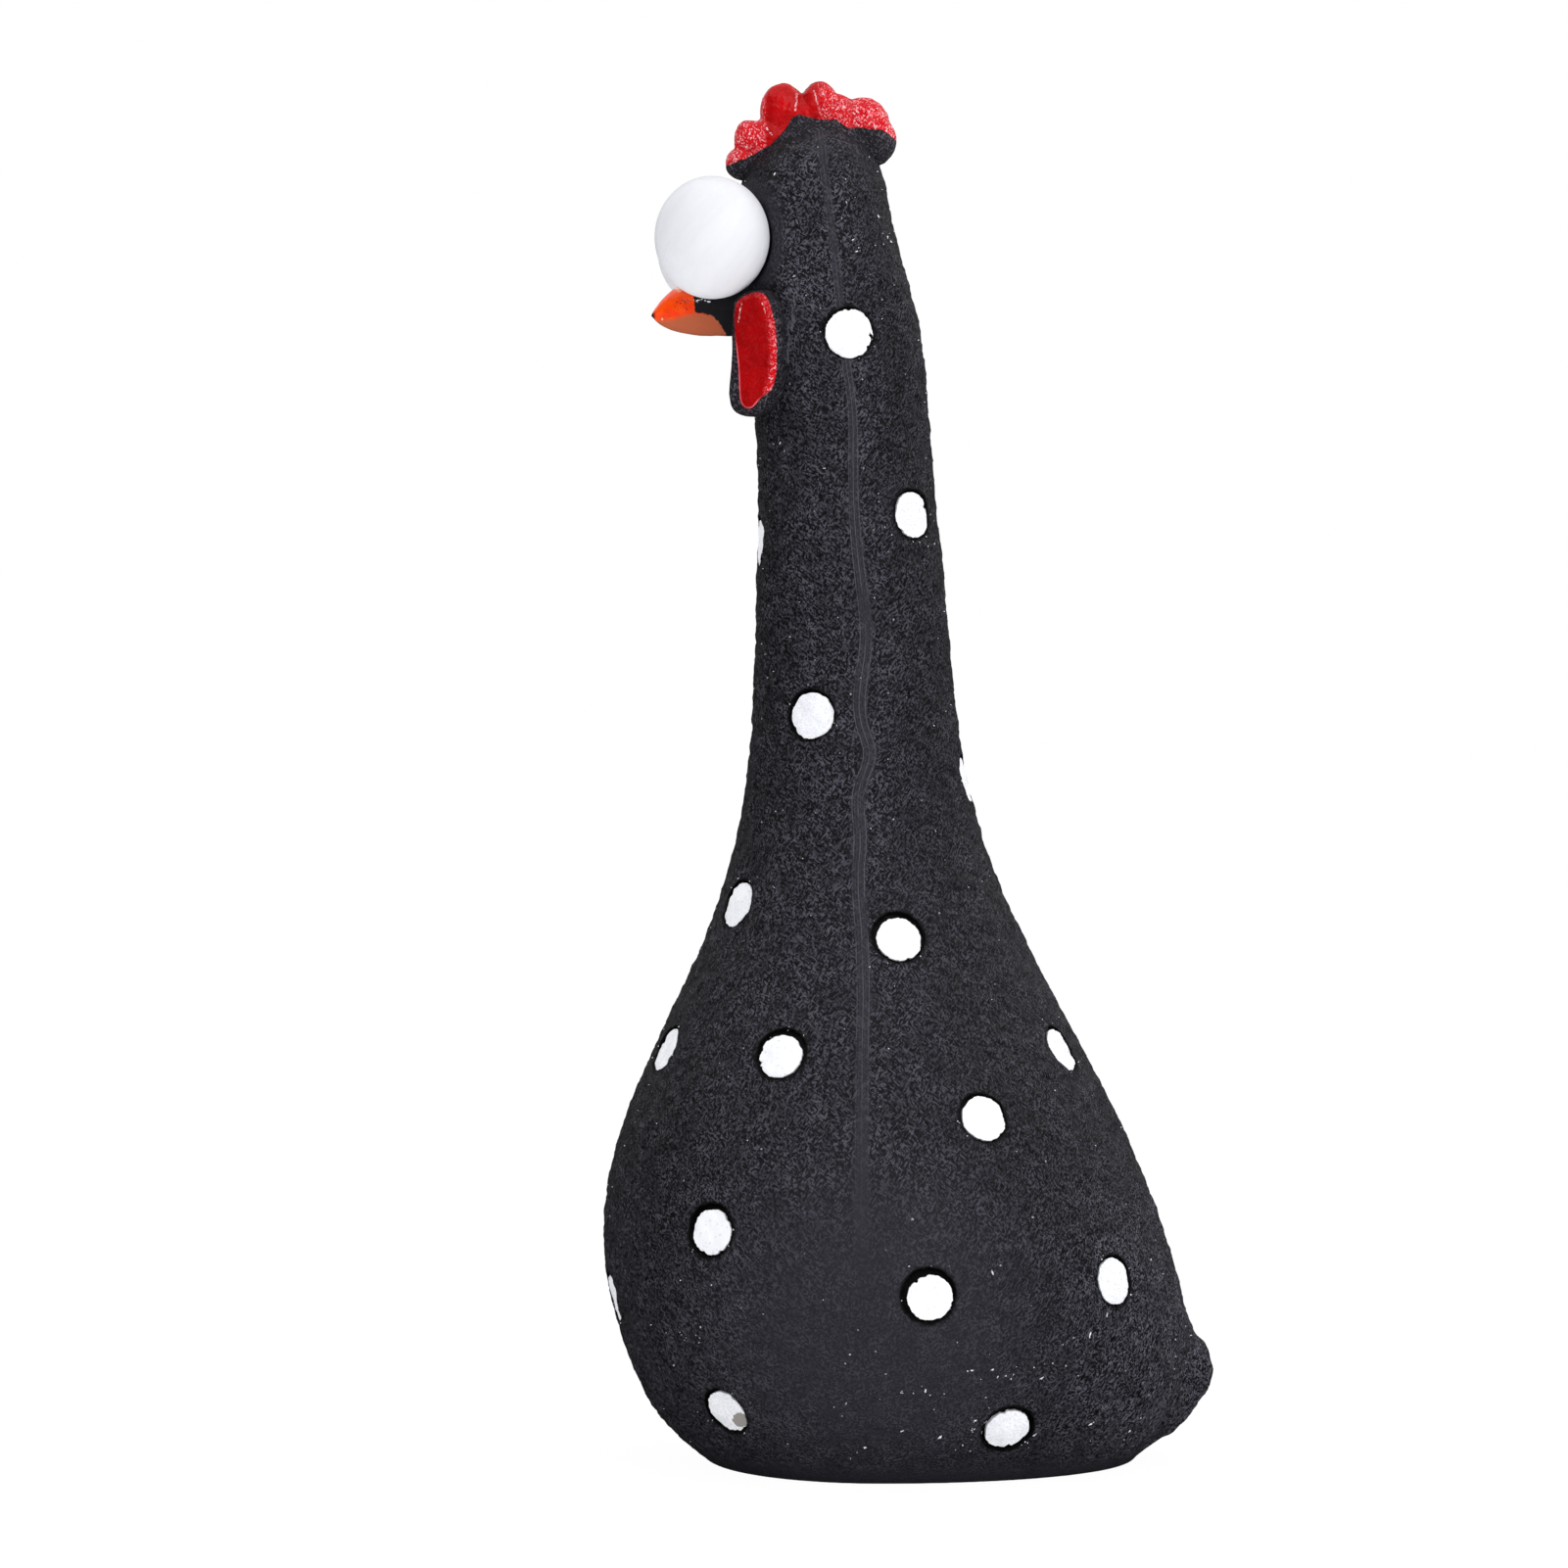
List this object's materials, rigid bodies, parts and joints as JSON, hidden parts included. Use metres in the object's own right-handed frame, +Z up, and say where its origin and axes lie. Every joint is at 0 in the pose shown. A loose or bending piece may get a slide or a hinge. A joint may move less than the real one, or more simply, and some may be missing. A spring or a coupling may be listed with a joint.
{
  "type": "long-necked hen ornament",
  "caption": "Free-standing cast hen ornament with a long neck, sandy black body, inset white polka dots, ball eyes, beak, wattles and a lobed comb.",
  "frame": {"origin": "middle of the bounding box on the surface that the foot stands on", "axes": "+Z up from the foot to the comb, -Y towards the beak, +X towards the bird's left side"},
  "size_m": [0.0822, 0.0889, 0.2],
  "materials": {
    "body_black": "matte",
    "base_black": "matte",
    "dot_white": "matte",
    "eye_white": "satin",
    "comb_red": "gloss",
    "wattle_red": "gloss",
    "beak_orange": "satin"
  },
  "bodies": {
    "root": {"front_shell": "body_black", "rear_shell": "body_black", "base_plate": "base_black", "comb": "comb_red", "beak": "beak_orange", "wattle_left": "wattle_red", "wattle_right": "wattle_red", "eye_left": "eye_white", "eye_right": "eye_white", "dot_left_01": "dot_white", "dot_left_02": "dot_white", "dot_left_03": "dot_white", "dot_left_04": "dot_white", "dot_left_05": "dot_white", "dot_left_06": "dot_white", "dot_left_07": "dot_white", "dot_left_08": "dot_white", "dot_left_09": "dot_white", "dot_left_10": "dot_white", "dot_left_11": "dot_white", "dot_left_12": "dot_white", "dot_left_13": "dot_white", "dot_left_14": "dot_white", "dot_right_01": "dot_white", "dot_right_02": "dot_white", "dot_right_03": "dot_white", "dot_right_04": "dot_white", "dot_right_05": "dot_white", "dot_right_06": "dot_white", "dot_right_07": "dot_white", "dot_right_08": "dot_white", "dot_right_09": "dot_white", "dot_right_10": "dot_white", "dot_right_11": "dot_white", "dot_right_12": "dot_white", "dot_right_13": "dot_white", "dot_right_14": "dot_white", "dot_middle_01": "dot_white", "dot_middle_02": "dot_white", "dot_middle_03": "dot_white"}
  },
  "joints": []
}
